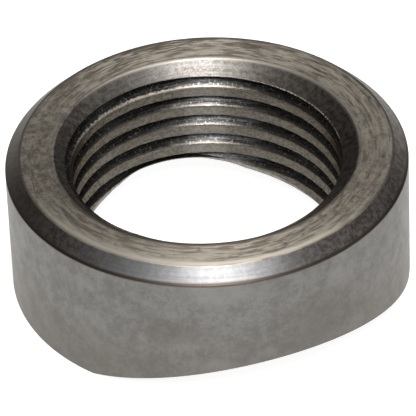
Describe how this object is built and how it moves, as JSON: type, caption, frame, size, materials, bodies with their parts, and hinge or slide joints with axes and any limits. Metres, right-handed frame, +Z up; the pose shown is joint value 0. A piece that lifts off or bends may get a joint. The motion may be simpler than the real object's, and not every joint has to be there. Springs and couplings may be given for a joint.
{
  "type": "oxygen sensor bung",
  "caption": "Turned steel weld-on ring with a threaded bore for an exhaust oxygen sensor, a countersunk lead-in, a chamfered rim and a curved saddle that fits a round pipe.",
  "frame": {"origin": "on the bore axis, at the two flat lands of the saddle that the ring stands on", "axes": "+Z up the bore axis towards the sensor's seat face, +Y along the axis of the pipe that the saddle fits"},
  "size_m": [0.025, 0.025, 0.0094],
  "materials": {
    "steel": "bare turned steel, satin, slightly oiled, with fine handling marks"
  },
  "bodies": {
    "root": {"bung": "steel"}
  },
  "joints": []
}
